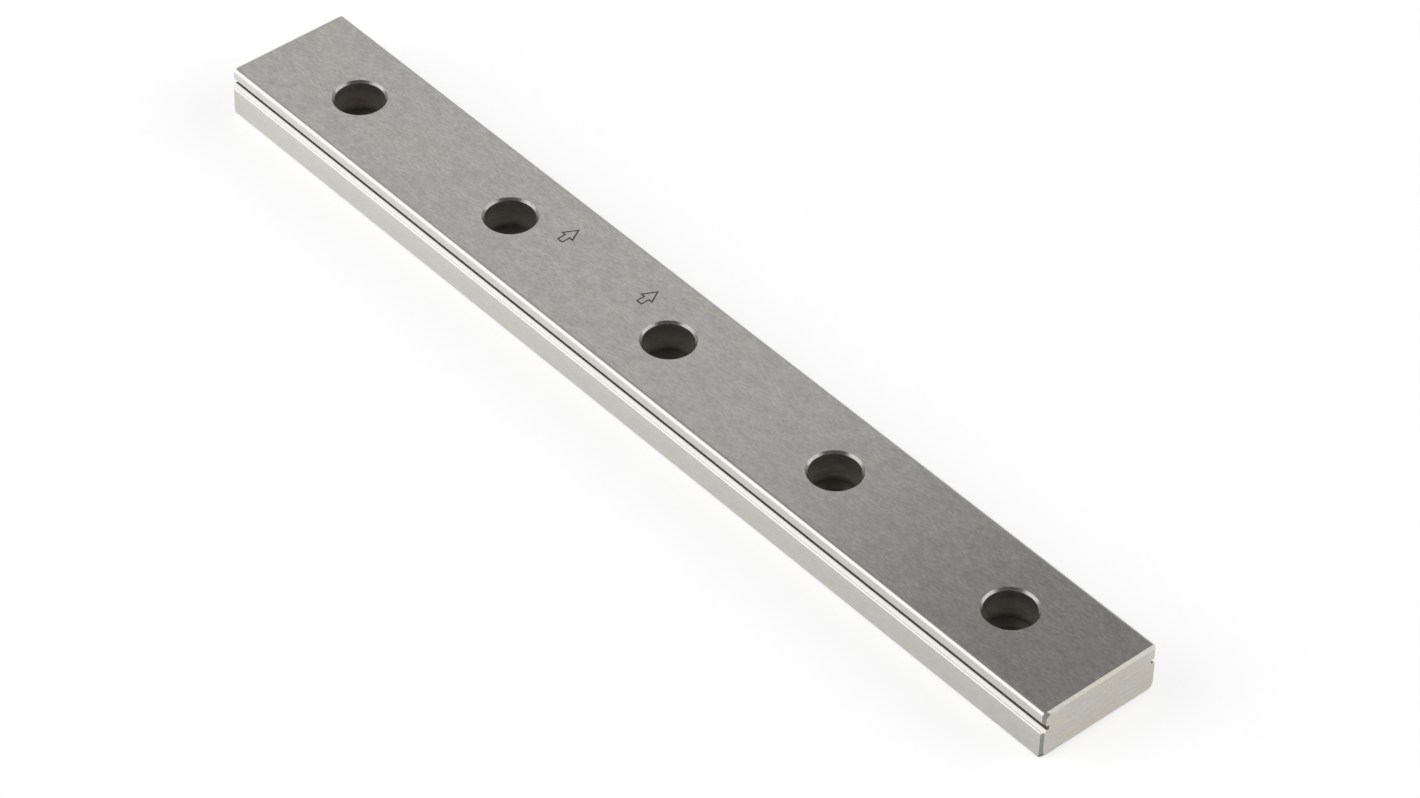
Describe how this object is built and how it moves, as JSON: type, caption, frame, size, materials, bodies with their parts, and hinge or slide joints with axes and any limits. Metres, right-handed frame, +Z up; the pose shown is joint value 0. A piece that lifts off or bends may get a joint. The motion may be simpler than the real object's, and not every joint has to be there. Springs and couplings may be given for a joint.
{
  "type": "profile linear guide rail",
  "caption": "Wide low ground-steel guide rail with a ball raceway along each side and a row of counterbored screw holes.",
  "frame": {"origin": "centre of the flat mounting face, on the underside, at the middle hole's axis", "axes": "+X along the rail, +Y across it towards the datum side, +Z up from the mounting face"},
  "size_m": [0.15, 0.018, 0.007],
  "materials": {
    "ground_steel": "fine-ground hardened steel, satin"
  },
  "bodies": {
    "root": {"guide_rail": "ground_steel"}
  },
  "joints": []
}
